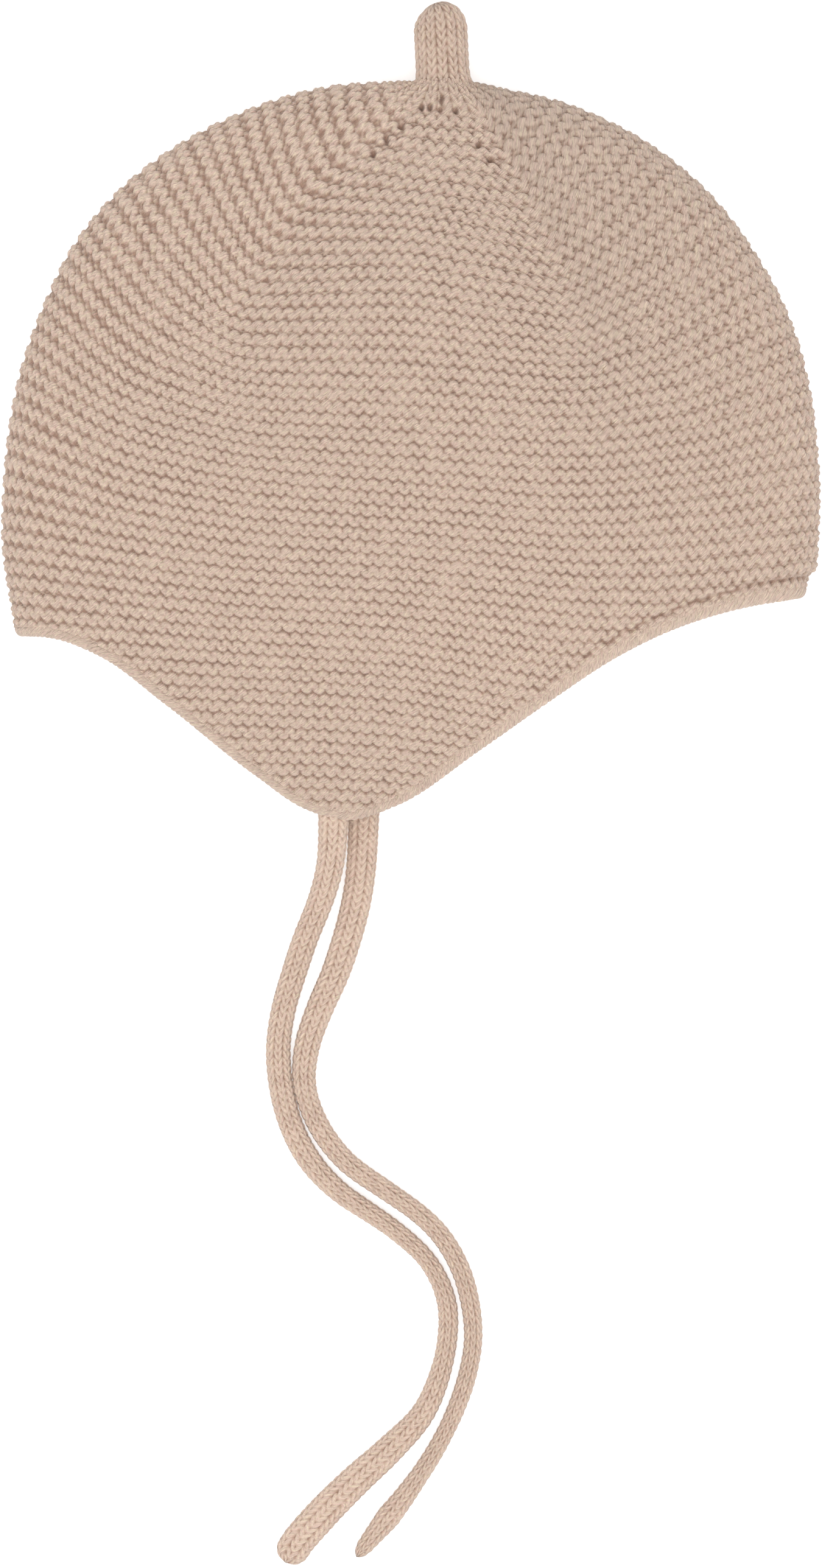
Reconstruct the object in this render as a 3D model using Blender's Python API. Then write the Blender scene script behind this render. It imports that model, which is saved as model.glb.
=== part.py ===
"""A baby's knitted bonnet lying flat on its side, with its two tie cords on the same surface.

The bonnet is one hollow shell of thick garter stitch. Its rounds of knitting run from a collar
under the nub, across both layers, and are cut off by the hem, which dips into an ear flap on each
layer. Lengths are in metres. +X is towards the brow, +Y towards the nub and +Z up.
"""
import math

import bpy
import numpy as np

# Outline of the bonnet as it lies
FLAT_WIDTH = 0.180        # from the fold at the nape to the fold at the brow
FLAT_LENGTH = 0.180       # from the nub's tip to the flaps' tips
WALL = 0.0030             # thickness of the knitted fabric
JOIN_GAP = 0.0004         # between pieces that are knitted to each other

# Height of the two layers
FOLD_HEIGHT = 0.0068      # of a fold's edge above the surface
FOLD_DEPTH = 0.0080       # how far in from the edge a fold is still curved
FOLD_RISE = 0.0062        # from a fold's edge to the upper layer beside it
CROWN_RISE = 0.0145       # further rise of the upper layer to the middle of the crown
UNDER_INSET = 0.0010      # the lower layer's hem lies this far inside the upper one's

# Rounds of knitting, numbered in ridges from the crown, with the upper layer's rise as a share of
# CROWN_RISE. The other columns say where the round lies on the upper layer, from the nape's fold
# to the brow's: shares of FLAT_WIDTH along X and of FLAT_LENGTH along Y.
PLACE_COLUMNS = ("nape_fold", "nape_side", "nape_mitre", "middle", "brow_mitre", "brow_side",
                 "brow_fold")
ROUND_COLUMNS = ("ridge", "rise") + PLACE_COLUMNS
ROUNDS = (
    (-3, 0.00, (0.005, 0.403), (0.006, 0.402), (0.013, 0.402), (0.039, 0.402), (0.065, 0.402),
     (0.071, 0.402), (0.073, 0.403)),
    (0, 0.10, (-0.020, 0.403), (-0.017, 0.382), (-0.005, 0.363), (0.039, 0.357), (0.088, 0.356),
     (0.100, 0.375), (0.106, 0.396)),
    (4, 0.38, (-0.102, 0.397), (-0.097, 0.354), (-0.073, 0.306), (0.034, 0.289), (0.129, 0.278),
     (0.164, 0.324), (0.194, 0.375)),
    (8, 0.62, (-0.186, 0.374), (-0.170, 0.302), (-0.140, 0.239), (0.012, 0.229), (0.161, 0.204),
     (0.224, 0.265), (0.284, 0.332)),
    (12, 0.82, (-0.273, 0.333), (-0.233, 0.242), (-0.186, 0.166), (-0.003, 0.168),
     (0.192, 0.134), (0.280, 0.201), (0.360, 0.272)),
    (16, 0.94, (-0.350, 0.277), (-0.290, 0.183), (-0.216, 0.102), (-0.007, 0.102),
     (0.205, 0.072), (0.317, 0.127), (0.418, 0.199)),
    (20, 1.00, (-0.410, 0.207), (-0.317, 0.097), (-0.212, 0.040), (-0.009, 0.033),
     (0.205, 0.014), (0.340, 0.051), (0.463, 0.116)),
    (24, 1.00, (-0.451, 0.125), (-0.346, 0.026), (-0.208, -0.020), (-0.011, -0.032),
     (0.198, -0.049), (0.355, -0.022), (0.488, 0.030)),
    (28, 0.94, (-0.479, 0.043), (-0.358, -0.038), (-0.205, -0.076), (-0.011, -0.094),
     (0.205, -0.113), (0.366, -0.091), (0.499, -0.061)),
    (36, 0.66, (-0.500, -0.141), (-0.354, -0.173), (-0.205, -0.198), (-0.011, -0.210),
     (0.224, -0.240), (0.373, -0.234), (0.496, -0.218)),
    (44, 0.33, (-0.482, -0.288), (-0.354, -0.300), (-0.205, -0.313), (-0.011, -0.325),
     (0.198, -0.367), (0.362, -0.353), (0.493, -0.338)),
    (57, -0.28, (-0.496, -0.495), (-0.346, -0.499), (-0.205, -0.502), (-0.033, -0.507),
     (0.168, -0.539), (0.347, -0.532), (0.511, -0.517)),
)
FIRST_RIDGE = ROUNDS[0][0]
LAST_RIDGE = ROUNDS[-1][0]
CORNER_LENGTH = 0.0040    # over which a round turns at a mitre beside the nub
CORNER_GROWTH = 0.0010    # added to that length by each ridge further down

# The hem's outer edge on the upper layer, from the nape's fold by the ear flap to the brow's fold
HEM_COLUMNS = ("across", "along")
HEM = (
    (-0.481, -0.277), (-0.436, -0.280), (-0.381, -0.301), (-0.299, -0.361), (-0.187, -0.450),
    (-0.129, -0.489), (-0.078, -0.503), (-0.018, -0.486), (0.082, -0.420), (0.166, -0.361),
    (0.258, -0.301), (0.320, -0.271), (0.413, -0.242), (0.485, -0.230),
)
HEM_RADIUS = 0.0019       # of the rolled edge
HEM_SIDES = 8

# The nub at the top of the crown
NUB_RADIUS = 0.0060
NUB_LENGTH = 0.0170
NUB_LEAN = -0.0008        # how far its tip leans towards the nape
NUB_TIP_RADIUS = 0.0005   # of the small flat where its round end closes
NUB_SIDES = 16
NUB_END_RINGS = 5
SHARP_ANGLE = math.radians(50)

# Faces of the shell
COLUMNS = 36              # on each layer
ROWS = 21
FOLD_CROWDING = 0.07      # how much closer the columns stand beside a fold
ROW_CROWDING = 1.35       # how much closer the rows stand beside the nub
FINE_POINTS = 181         # of each layer of a round, before it is divided into columns
RIDGE_STEP = 0.25

# The ties, knitted cords that lie on the surface: their centre lines and heights
TIE_RADIUS = 0.0025
TIE_UPPER_HEIGHT = 0.0075     # where it leaves the upper flap
TIE_DROP_LENGTH = 0.030       # along which it comes down to the surface
TIE_UPPER_ROUTE = (
    (-0.0174, -0.0905), (-0.0176, -0.0951), (-0.0180, -0.0998), (-0.0201, -0.1078),
    (-0.0230, -0.1158), (-0.0257, -0.1239), (-0.0280, -0.1319), (-0.0292, -0.1400),
    (-0.0289, -0.1480), (-0.0270, -0.1560), (-0.0229, -0.1641), (-0.0154, -0.1721),
    (-0.0095, -0.1761), (-0.0036, -0.1802), (0.0046, -0.1882), (0.0080, -0.1962),
    (0.0081, -0.2043), (0.0064, -0.2123), (0.0029, -0.2204), (-0.0044, -0.2284),
    (-0.0131, -0.2364), (-0.0210, -0.2445), (-0.0250, -0.2492), (-0.0272, -0.2529),
)
TIE_LOWER_ROUTE = (
    (-0.0103, -0.0896), (-0.0105, -0.0944), (-0.0108, -0.0998), (-0.0119, -0.1078),
    (-0.0139, -0.1158), (-0.0166, -0.1239), (-0.0200, -0.1319), (-0.0224, -0.1400),
    (-0.0228, -0.1480), (-0.0203, -0.1560), (-0.0150, -0.1641), (-0.0045, -0.1721),
    (0.0011, -0.1761), (0.0056, -0.1802), (0.0107, -0.1882), (0.0131, -0.1962),
    (0.0138, -0.2043), (0.0125, -0.2123), (0.0097, -0.2204), (0.0057, -0.2284),
    (0.0005, -0.2364), (-0.0057, -0.2445), (-0.0092, -0.2488), (-0.0116, -0.2519),
)
TIE_POINTS = 68
TIE_BEVEL_RESOLUTION = 2

WOOL = (0.62, 0.49, 0.39)     # linear colour of the beige wool
WOOL_ROUGHNESS = 0.95


def clear_scene():
    for item in list(bpy.data.objects):
        bpy.data.objects.remove(item, do_unlink=True)


def wool_material(name):
    material = bpy.data.materials.new(name)
    material.use_nodes = True
    shader = material.node_tree.nodes["Principled BSDF"]
    shader.inputs["Base Color"].default_value = (*WOOL, 1.0)
    shader.inputs["Roughness"].default_value = WOOL_ROUGHNESS
    shader.inputs["Metallic"].default_value = 0.0
    return material


def link_object(name, data):
    item = bpy.data.objects.new(name, data)
    bpy.context.scene.collection.objects.link(item)
    data.materials.append(wool_material(name + "_wool"))
    return item


def smooth_between(knots, values, places):
    """Cubic curve through values at knots, with the slopes of their neighbours."""
    knots = np.asarray(knots, dtype=float)
    values = np.asarray(values, dtype=float)
    places = np.atleast_1d(np.asarray(places, dtype=float))
    slopes = np.gradient(values, knots, axis=0)
    start = np.clip(np.searchsorted(knots, places, side="right") - 1, 0, len(knots) - 2)
    width = knots[start + 1] - knots[start]
    share = (places - knots[start]) / width
    extra = (1,) * (values.ndim - 1)
    width = width.reshape(-1, *extra)
    share = share.reshape(-1, *extra)
    near = values[start] * (1 + 2 * share) * (1 - share) ** 2
    near = near + slopes[start] * width * share * (1 - share) ** 2
    far = values[start + 1] * share ** 2 * (3 - 2 * share)
    far = far + slopes[start + 1] * width * share ** 2 * (share - 1)
    return near + far


def unit(vectors):
    return vectors / np.linalg.norm(vectors, axis=-1, keepdims=True)


def lengths_along(points):
    steps = np.linalg.norm(np.diff(points, axis=0), axis=1)
    return np.concatenate([[0.0], np.cumsum(steps)])


def at_shares(points, shares):
    """Points at the given shares of a line's length."""
    lengths = lengths_along(points)
    columns = [np.interp(shares * lengths[-1], lengths, column) for column in points.T]
    return np.stack(columns, axis=1)


def round_corners(points, turn_length):
    """A line through points, with its corners rounded over turn_length."""
    line = at_shares(points, np.linspace(0, 1, 2 * FINE_POINTS))
    reach = turn_length / lengths_along(line)[-1] * len(line) / 2
    half = int(np.clip(round(reach), 1, FINE_POINTS // 2))
    window = np.hanning(2 * half + 3)[1:-1]
    window = window / window.sum()
    before = 2 * line[0] - line[half:0:-1]
    after = 2 * line[-1] - line[-2:-half - 2:-1]
    padded = np.concatenate([before, line, after])
    return np.stack([np.convolve(column, window, mode="valid") for column in padded.T], axis=1)


def fold_curve(distance):
    """Height share of a fold's quarter round, from 0 at its edge to 1 at FOLD_DEPTH."""
    inward = np.minimum(distance / FOLD_DEPTH, 1.0)
    return np.sqrt(1 - (1 - inward) ** 2)


def table_column(rows, columns, name):
    place = columns.index(name)
    return np.array([row[place] for row in rows], dtype=float)


def layer_lines(ridge):
    """The upper and the lower line of one round, both from the nape's fold to the brow's."""
    ridges = table_column(ROUNDS, ROUND_COLUMNS, "ridge")
    rises = table_column(ROUNDS, ROUND_COLUMNS, "rise")
    places = [table_column(ROUNDS, ROUND_COLUMNS, name) for name in PLACE_COLUMNS]
    rise = smooth_between(ridges, rises, ridge)[0] * CROWN_RISE
    corners = smooth_between(ridges, np.stack(places, axis=1), ridge)[0]
    corners = corners * (FLAT_WIDTH, FLAT_LENGTH)
    turn = CORNER_LENGTH + CORNER_GROWTH * max(ridge, 0)
    flat = round_corners(corners, turn)
    crowded = (1 - np.cos(np.linspace(0, math.pi, FINE_POINTS))) / 2
    flat = at_shares(flat, crowded)
    lengths = lengths_along(flat)
    from_fold = np.minimum(lengths, lengths[-1] - lengths)
    curve = fold_curve(from_fold)
    swell = rise * np.sin(math.pi * lengths / lengths[-1])
    upper = np.column_stack([flat, FOLD_HEIGHT + FOLD_RISE * curve + swell])
    lower = np.column_stack([flat, FOLD_HEIGHT - FOLD_HEIGHT * curve])
    return upper, lower


def column_shares():
    even = np.linspace(0, 1, COLUMNS + 1)
    return even - FOLD_CROWDING * np.sin(2 * math.pi * even)


def knitted_surface():
    """Outer surface as ridges by columns: the upper layer to the brow, then the lower one back."""
    shares = column_shares()
    rings = []
    ridges = np.arange(FIRST_RIDGE, LAST_RIDGE + RIDGE_STEP / 2, RIDGE_STEP)
    for ridge in ridges:
        upper, lower = layer_lines(ridge)
        there = at_shares(upper, shares)[:-1]
        back = at_shares(lower, shares)[:0:-1]
        rings.append(np.concatenate([there, back]))
    return ridges, np.array(rings)


def hem_line(inset):
    """The hem's line on the surface, moved in from its outer edge by inset."""
    across = table_column(HEM, HEM_COLUMNS, "across") * FLAT_WIDTH
    along = table_column(HEM, HEM_COLUMNS, "along") * FLAT_LENGTH
    points = np.stack([across, along], axis=1)
    fine = smooth_between(lengths_along(points), points,
                          np.linspace(0, lengths_along(points)[-1], FINE_POINTS))
    forward = unit(np.gradient(fine, axis=0))
    inward = np.stack([-forward[:, 1], forward[:, 0]], axis=1)
    return fine + inward * inset


def ridges_at_hem(ridges, surface, inset):
    """For each column, the ridge at which the hem's line, moved in by inset, crosses it."""
    crossings = []
    for column in range(surface.shape[1]):
        under = column > COLUMNS
        line = hem_line(inset + (UNDER_INSET if under else 0.0))
        path = surface[:, column]
        above = path[:, 1] - np.interp(path[:, 0], line[:, 0], line[:, 1])
        first = int(np.argmax(above < 0))
        share = above[first - 1] / (above[first - 1] - above[first])
        crossings.append(ridges[first - 1] + share * RIDGE_STEP)
    return np.array(crossings)


def surface_at(ridges, surface, places):
    """Points of the surface at one ridge number for each column."""
    points = [[np.interp(place, ridges, surface[:, column, axis]) for axis in range(3)]
              for column, place in enumerate(places)]
    return np.array(points)


def mesh_from_rings(name, rings, closed_ends=(), close_loop=False):
    """Quads between rings of points, with a fan over the first or the last ring where asked."""
    count = len(rings[0])
    vertices = [tuple(point) for ring in rings for point in ring]
    faces = []
    pairs = [(row, row + 1) for row in range(len(rings) - 1)]
    if close_loop:
        pairs.append((len(rings) - 1, 0))
    for row, following in pairs:
        for side in range(count):
            other = (side + 1) % count
            faces.append((row * count + side, following * count + side,
                          following * count + other, row * count + other))
    for end in closed_ends:
        ring = rings[end]
        base = 0 if end == 0 else (len(rings) - 1) * count
        centre = len(vertices)
        vertices.append(tuple(np.mean(ring, axis=0)))
        for side in range(count):
            other = (side + 1) % count
            corner = (base + side, base + other, centre)
            faces.append(corner if end == 0 else corner[::-1])
    mesh = bpy.data.meshes.new(name)
    mesh.from_pydata(vertices, [], faces)
    mesh.validate()
    mesh.update()
    mesh.shade_smooth()
    return mesh


def bonnet_body(ridges, surface):
    """The knitted shell with both ear flaps, closed at the collar and open along the hem."""
    edge = ridges_at_hem(ridges, surface, 2 * HEM_RADIUS + JOIN_GAP)
    rings = []
    for share in np.linspace(0, 1, ROWS + 1) ** ROW_CROWDING:
        rings.append(surface_at(ridges, surface, FIRST_RIDGE + share * (edge - FIRST_RIDGE)))
    body = link_object("bonnet_body", mesh_from_rings("bonnet_body", rings, closed_ends=(0,)))
    fabric = body.modifiers.new("fabric", "SOLIDIFY")
    fabric.thickness = WALL
    fabric.offset = -1.0
    fabric.use_even_offset = True
    fabric.use_rim = True
    return body


def hem_roll(ridges, surface):
    """The rolled edge, a closed tube that runs round the opening on both layers."""
    middle = ridges_at_hem(ridges, surface, HEM_RADIUS)
    outer = surface_at(ridges, surface, middle)
    around = unit(np.roll(outer, -1, axis=0) - np.roll(outer, 1, axis=0))
    above = surface_at(ridges, surface, middle - 2 * RIDGE_STEP)
    upward = unit(above - outer)
    outward = unit(np.cross(around, upward))
    across = np.cross(outward, around)
    centres = outer - outward * HEM_RADIUS
    angles = np.arange(HEM_SIDES) * 2 * math.pi / HEM_SIDES
    rings = []
    for centre, out, side in zip(centres, outward, across):
        rings.append([centre + HEM_RADIUS * (math.cos(angle) * out + math.sin(angle) * side)
                      for angle in angles])
    return link_object("hem_roll", mesh_from_rings("hem_roll", rings, close_loop=True))


def crown_nub(surface):
    """The closed stalk that stands on the collar, with a round end."""
    collar = surface[0]
    base_x, _, base_z = (collar.min(axis=0) + collar.max(axis=0)) / 2
    base_y = collar[:, 1].max() + JOIN_GAP
    straight = NUB_LENGTH - NUB_RADIUS
    stations = [(0.0, NUB_RADIUS), (straight / 2, NUB_RADIUS), (straight, NUB_RADIUS)]
    for step in range(1, NUB_END_RINGS):
        angle = step / NUB_END_RINGS * math.pi / 2
        stations.append((straight + NUB_RADIUS * math.sin(angle), NUB_RADIUS * math.cos(angle)))
    stations.append((NUB_LENGTH, NUB_TIP_RADIUS))
    rings = []
    for height, radius in stations:
        centre_x = base_x + NUB_LEAN * height / NUB_LENGTH
        ring = []
        for side in range(NUB_SIDES):
            angle = side * 2 * math.pi / NUB_SIDES
            ring.append((centre_x + radius * math.cos(angle), base_y + height,
                         base_z + radius * math.sin(angle)))
        rings.append(ring)
    mesh = mesh_from_rings("crown_nub", rings, closed_ends=(0, len(rings) - 1))
    mesh.set_sharp_from_angle(angle=SHARP_ANGLE)
    return link_object("crown_nub", mesh)


def tie_centre_line(route, start_height):
    """The cord's centre line, coming down from start_height to lie on the surface."""
    corners = np.array(route)
    places = lengths_along(corners)
    flat = smooth_between(places, corners, np.linspace(0, places[-1], TIE_POINTS))
    down = np.clip(lengths_along(flat) / TIE_DROP_LENGTH, 0, 1)
    drop = (start_height - TIE_RADIUS) * (1 + np.cos(math.pi * down)) / 2
    return np.column_stack([flat, TIE_RADIUS + drop])


def tie_cord(name, route, start_height):
    """A plain round cord on the centre line."""
    curve = bpy.data.curves.new(name, "CURVE")
    curve.dimensions = "3D"
    curve.bevel_depth = TIE_RADIUS
    curve.bevel_resolution = TIE_BEVEL_RESOLUTION
    curve.use_fill_caps = True
    points = tie_centre_line(route, start_height)
    spline = curve.splines.new("POLY")
    spline.points.add(len(points) - 1)
    for knot, point in zip(spline.points, points):
        knot.co = (*point, 1.0)
    return link_object(name, curve)


def build_bonnet():
    clear_scene()
    ridges, surface = knitted_surface()
    bonnet_body(ridges, surface)
    hem_roll(ridges, surface)
    crown_nub(surface)
    tie_cord("tie_upper", TIE_UPPER_ROUTE, TIE_UPPER_HEIGHT)
    tie_cord("tie_lower", TIE_LOWER_ROUTE, TIE_RADIUS)


build_bonnet()
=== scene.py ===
"""Looks of a baby's knitted bonnet that lies on its side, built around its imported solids.

The fabric is garter stitch: each ridge is a wavy row of bumps, an arch over each stitch and a bowl
between it and the next. The rolled hem, the nub and the ties are smooth knitting. Lengths are in
metres. +X is towards the brow, +Y towards the nub and +Z up, as in the solids.
"""

import math

import bpy
import numpy as np
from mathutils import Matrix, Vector


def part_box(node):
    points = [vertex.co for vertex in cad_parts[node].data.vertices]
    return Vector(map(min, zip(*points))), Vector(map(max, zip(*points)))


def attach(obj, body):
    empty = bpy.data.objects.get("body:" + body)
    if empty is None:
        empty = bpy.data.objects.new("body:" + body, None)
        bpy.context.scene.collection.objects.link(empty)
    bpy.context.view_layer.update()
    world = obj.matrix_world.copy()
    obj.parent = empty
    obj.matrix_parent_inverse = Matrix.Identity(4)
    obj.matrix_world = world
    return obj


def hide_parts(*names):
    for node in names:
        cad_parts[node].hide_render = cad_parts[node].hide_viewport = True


# Form of the bonnet, as in its solids
FLAT_WIDTH = 0.180        # from the fold at the nape to the fold at the brow
FLAT_LENGTH = 0.180       # from the nub's tip to the flaps' tips
WALL = 0.0030             # thickness of the knitted fabric
FOLD_HEIGHT = 0.0068      # of a fold's edge above the surface
FOLD_DEPTH = 0.0080       # how far in from the edge a fold is still curved
FOLD_RISE = 0.0062        # from a fold's edge to the upper layer beside it
CROWN_RISE = 0.0145       # further rise of the upper layer to the middle of the crown
UNDER_INSET = 0.0010      # the lower layer's hem lies this far inside the upper one's
GATHER_START = -0.0340    # where the brow's fold begins to draw in towards the end of the hem
GATHER_LENGTH = 0.0040
GATHER_DEPTH = 0.0024
GATHER_WIDTH = 0.0120     # of the fabric that it draws in

# Rounds of the knitting: number of its ridge, share of the crown's rise, and its points on the
# nape's fold, the nape's side, the nape's mitre, the middle, the brow's mitre, the brow's side and
# the brow's fold, as shares of the width and the length
ROUNDS = (
    (-3, 0.00, (0.005, 0.403), (0.006, 0.402), (0.013, 0.402), (0.039, 0.402), (0.065, 0.402),
     (0.071, 0.402), (0.073, 0.403)),
    (0, 0.10, (-0.020, 0.403), (-0.017, 0.382), (-0.005, 0.363), (0.039, 0.357), (0.088, 0.356),
     (0.100, 0.375), (0.106, 0.396)),
    (4, 0.38, (-0.102, 0.397), (-0.097, 0.354), (-0.073, 0.306), (0.034, 0.289), (0.129, 0.278),
     (0.164, 0.324), (0.194, 0.375)),
    (8, 0.62, (-0.186, 0.374), (-0.170, 0.302), (-0.140, 0.239), (0.012, 0.229), (0.161, 0.204),
     (0.224, 0.265), (0.284, 0.332)),
    (12, 0.82, (-0.273, 0.333), (-0.233, 0.242), (-0.186, 0.166), (-0.003, 0.168),
     (0.192, 0.134), (0.280, 0.201), (0.360, 0.272)),
    (16, 0.94, (-0.350, 0.277), (-0.290, 0.183), (-0.216, 0.102), (-0.007, 0.102),
     (0.205, 0.072), (0.317, 0.127), (0.418, 0.199)),
    (20, 1.00, (-0.410, 0.207), (-0.317, 0.097), (-0.212, 0.040), (-0.009, 0.033),
     (0.205, 0.014), (0.340, 0.051), (0.463, 0.116)),
    (24, 1.00, (-0.451, 0.125), (-0.346, 0.026), (-0.208, -0.020), (-0.011, -0.032),
     (0.198, -0.049), (0.355, -0.022), (0.488, 0.030)),
    (28, 0.94, (-0.479, 0.043), (-0.358, -0.038), (-0.205, -0.076), (-0.011, -0.094),
     (0.205, -0.113), (0.366, -0.091), (0.499, -0.061)),
    (36, 0.66, (-0.500, -0.141), (-0.354, -0.173), (-0.205, -0.198), (-0.011, -0.210),
     (0.224, -0.240), (0.373, -0.234), (0.496, -0.218)),
    (44, 0.33, (-0.482, -0.288), (-0.354, -0.300), (-0.205, -0.313), (-0.011, -0.325),
     (0.198, -0.367), (0.362, -0.353), (0.493, -0.338)),
    (57, -0.28, (-0.496, -0.495), (-0.346, -0.499), (-0.205, -0.502), (-0.033, -0.507),
     (0.168, -0.539), (0.347, -0.532), (0.511, -0.517)),
)
FIRST_RIDGE = ROUNDS[0][0]
LAST_RIDGE = ROUNDS[-1][0]
CORNER_LENGTH = 0.0040    # over which a round turns at a mitre beside the nub
CORNER_GROWTH = 0.0010    # added to that length by each ridge further down
FINE_POINTS = 361         # of each layer of a round
RIDGE_STEP = 0.25         # between the rounds that are worked out
BEFORE_LAST = 1.000001    # keeps the last round inside the last step between two
TINY = 1e-9

# The hem's outer edge, as shares of the width and the length, and half its width along it
HEM = (
    (-0.481, -0.277), (-0.436, -0.280), (-0.381, -0.301), (-0.299, -0.361), (-0.187, -0.450),
    (-0.129, -0.489), (-0.078, -0.503), (-0.018, -0.486), (0.082, -0.420), (0.166, -0.361),
    (0.258, -0.301), (0.320, -0.271), (0.413, -0.242), (0.485, -0.230),
)
HEM_HALF_WIDTHS = ((-0.50, 0.0017), (-0.10, 0.0016), (0.05, 0.0019), (0.30, 0.0022),
                   (0.50, 0.0021))       # by share of the width across
HEM_TUCK = 0.0022         # how far in from the hem's edge the garter stitch ends, under the roll
HEM_STROKE = 0.00133      # between the slanting strokes of the rolled edge
HEM_SLANT = 1.2           # of a stroke, from its middle to its end
HEM_STROKE_DEPTH = 0.00024
HEM_STROKE_SHARPNESS = 1.5
HEM_WANDER = 0.25         # of a stroke
HEM_WANDER_NOISE = (0.7, 0.2, 31)     # noises are explained under the garter stitch
HEM_FULLNESS_RANGE = 0.3  # of a stroke's depth
HEM_FULLNESS_NOISE = (1.1, 0.0, 32)
HEM_FULLNESS_SHIFT = 4
HEM_STREAK_REACH = 2.0    # of the wool's streaks across the roll
HEM_SHADE_SHARE = 0.7      # how much painted shade its creases get, as a share of that in the garter stitch's holes
HEM_SIDES = 20
HEM_UPPER_RINGS = 720
HEM_UNDER_RINGS = 360
HEM_CREASE_PLACE = 0.0024     # of the crease beside the roll, up from the garter stitch's edge
HEM_CREASE_WIDTH = 0.0005
HEM_CREASE_DEPTH = 0.0006
HEM_CREASE_RAMP = 0.060   # distance towards the brow over which it deepens

# Garter stitch
STITCH_PITCHES = ((0, 0.00300), (8, 0.00285), (16, 0.00272), (24, 0.00265))   # by ridge
LAST_DECREASE = 24        # ridge below which each round has the same stitches
BANDS = (-3, 5, 12, 20, 28, 36, 44, 57)   # ridges at which one piece ends and the next begins
ROWS_PER_RIDGE = 9
UPPER_COLUMNS_PER_STITCH = 9
UNDER_COLUMNS_PER_STITCH = 3
LINING_ROWS_PER_BAND = 5
# Middle, half width, half height and bend of an arch and a bowl, as shares of a stitch and a ridge
GARTER_BUMPS = ((0.0, 0.275, 0.53, 0.312, 0.13), (0.5, 0.752, 0.53, 0.312, -0.13))
GARTER_PITCH = 0.0027     # of the stitches and ridges that the relief is worked out for
RELIEF_DEPTH = 0.00100    # of the holes below the bumps' tops
BROW_STRETCH = 1.32       # of the ridges' spacing, beyond which the bumps grow with it
NAPE_STRETCH = 1.42
GAP_RAMP = 0.08           # share of a ridge over which its bumps end at a gap between two ridges
BROW_GAP_DEPTH = 0.00066
NAPE_GAP_DEPTH = 0.00110
LEG_SHARE = 0.52          # of a gap's depth, where the yarn crosses it at each bowl
NAPE_TO = 0.45            # share of the upper layer that the nape's deeper gaps reach to
NAPE_FADE = 0.20          # share over which they give way to the brow's
YARN_TWIST = 0.75         # slope of the fibres on the yarn
PROUD = 0.00025           # how far the bumps stand out of the solid's surface
TILE_POINTS = 96
TILE_EDGE = 0.499         # just inside the tile, from its middle
TILE_SOFTENINGS = 3       # times that its sharpest edges are rounded
BUMP_SQUARENESS = 2.3     # power of the distance across a bump, for its blunt sides
BUMP_FULLNESS = 0.6       # power of its profile, for its full top

# Unevenness of the stitches. A noise is given by its features in a stitch, its features in a ridge
# or row, and its seed
NOISE_CELLS = 64          # after which a noise repeats
WANDER_ACROSS = 0.09      # of a stitch
WANDER_ALONG = 0.06       # of a ridge
WANDER_ACROSS_NOISE = (0.9, 0.9, 11)
WANDER_ALONG_NOISE = (0.8, 0.8, 12)
RIDGE_SHIFT = 7           # between the noise of one ridge and of the next
WANDER_ALONG_SHIFT = 31
FULLNESS_RANGE = 0.22     # of the relief
FULLNESS_NOISE = (1.1, 1.7, 13)
LOOSE_FROM = 0.72         # share of the upper layer beyond which the stitches lie less evenly
LOOSE_OVER = 0.10         # share over which they come to do so
LOOSE_RIDGES = (14, 26)   # over which they come to lie evenly again
LOOSE_ACROSS = 0.07       # added there to how far they wander
LOOSE_ALONG = 0.08

# Under the nub its columns spread into the crown and end in eyelets
FLARE_COLUMNS = 10        # over the upper layer
FLARE_ROWS_PER_RIDGE = 1.2
FLARE_END = 0.3           # the ridge at which garter stitch has taken over
FLARE_BLEND = 0.5         # ridges over which it does so
EYELETS = (
    (0.0068, 0.0677, 0.0004, 0.0011), (0.0025, 0.0659, 0.0005, 0.0007),
    (0.0043, 0.0658, 0.0005, 0.0008), (0.0066, 0.0654, 0.0005, 0.0006),
    (0.0100, 0.0652, 0.0005, 0.0007), (-0.0020, 0.0615, 0.0007, 0.0006),
    (-0.0053, 0.0587, 0.0005, 0.0008), (-0.0081, 0.0555, 0.0006, 0.0008),
    (0.0149, 0.0574, 0.0005, 0.0007), (0.0175, 0.0542, 0.0007, 0.0006),
)                         # middle and half size of each
EYELET_DEPTH = 0.0017

# Smooth knitting of the nub and the ties: columns of slanting legs that meet in a V, which points
# away from the hem
V_COLUMN = 0.0024
V_SLOPE = 0.95            # rows that a leg crosses from its column's edge to the middle
V_EDGE_DEPTH = 0.00060    # of the crease between two columns
V_EDGE_SHARPNESS = 4
V_MIDDLE_DEPTH = 0.00030
V_MIDDLE_WIDTH = 0.20     # of half a column
V_LEG_DEPTH = 0.00048     # of the crease between one leg and the next
V_DEPTH = 0.00090         # at which the painted shade of a crease is as dark as in a hole
TUBE_SIDES_PER_COLUMN = 8
TUBE_RINGS_PER_ROW = 7
TUBE_SIDE_RELIEF = 0.45   # of the relief, where the cord's sides face neither up nor down
TUBE_CLOSING = 6          # how soon the relief comes in from a closed end
TUBE_WANDER = 0.06        # of a column and of a row
TUBE_WANDER_NOISE = (0.8, 0.7, 21)
TUBE_FULLNESS_RANGE = 0.2     # of the relief
TUBE_FULLNESS_NOISE = (0.7, 1.3, 22)
TUBE_FULLNESS_SHIFT = 9
TUBE_STREAKS = (2, 3)     # how fast the wool's streaks change along a cord and across it
END_KEPT = 0.0004         # square of the share of its width that a rounded end keeps

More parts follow.
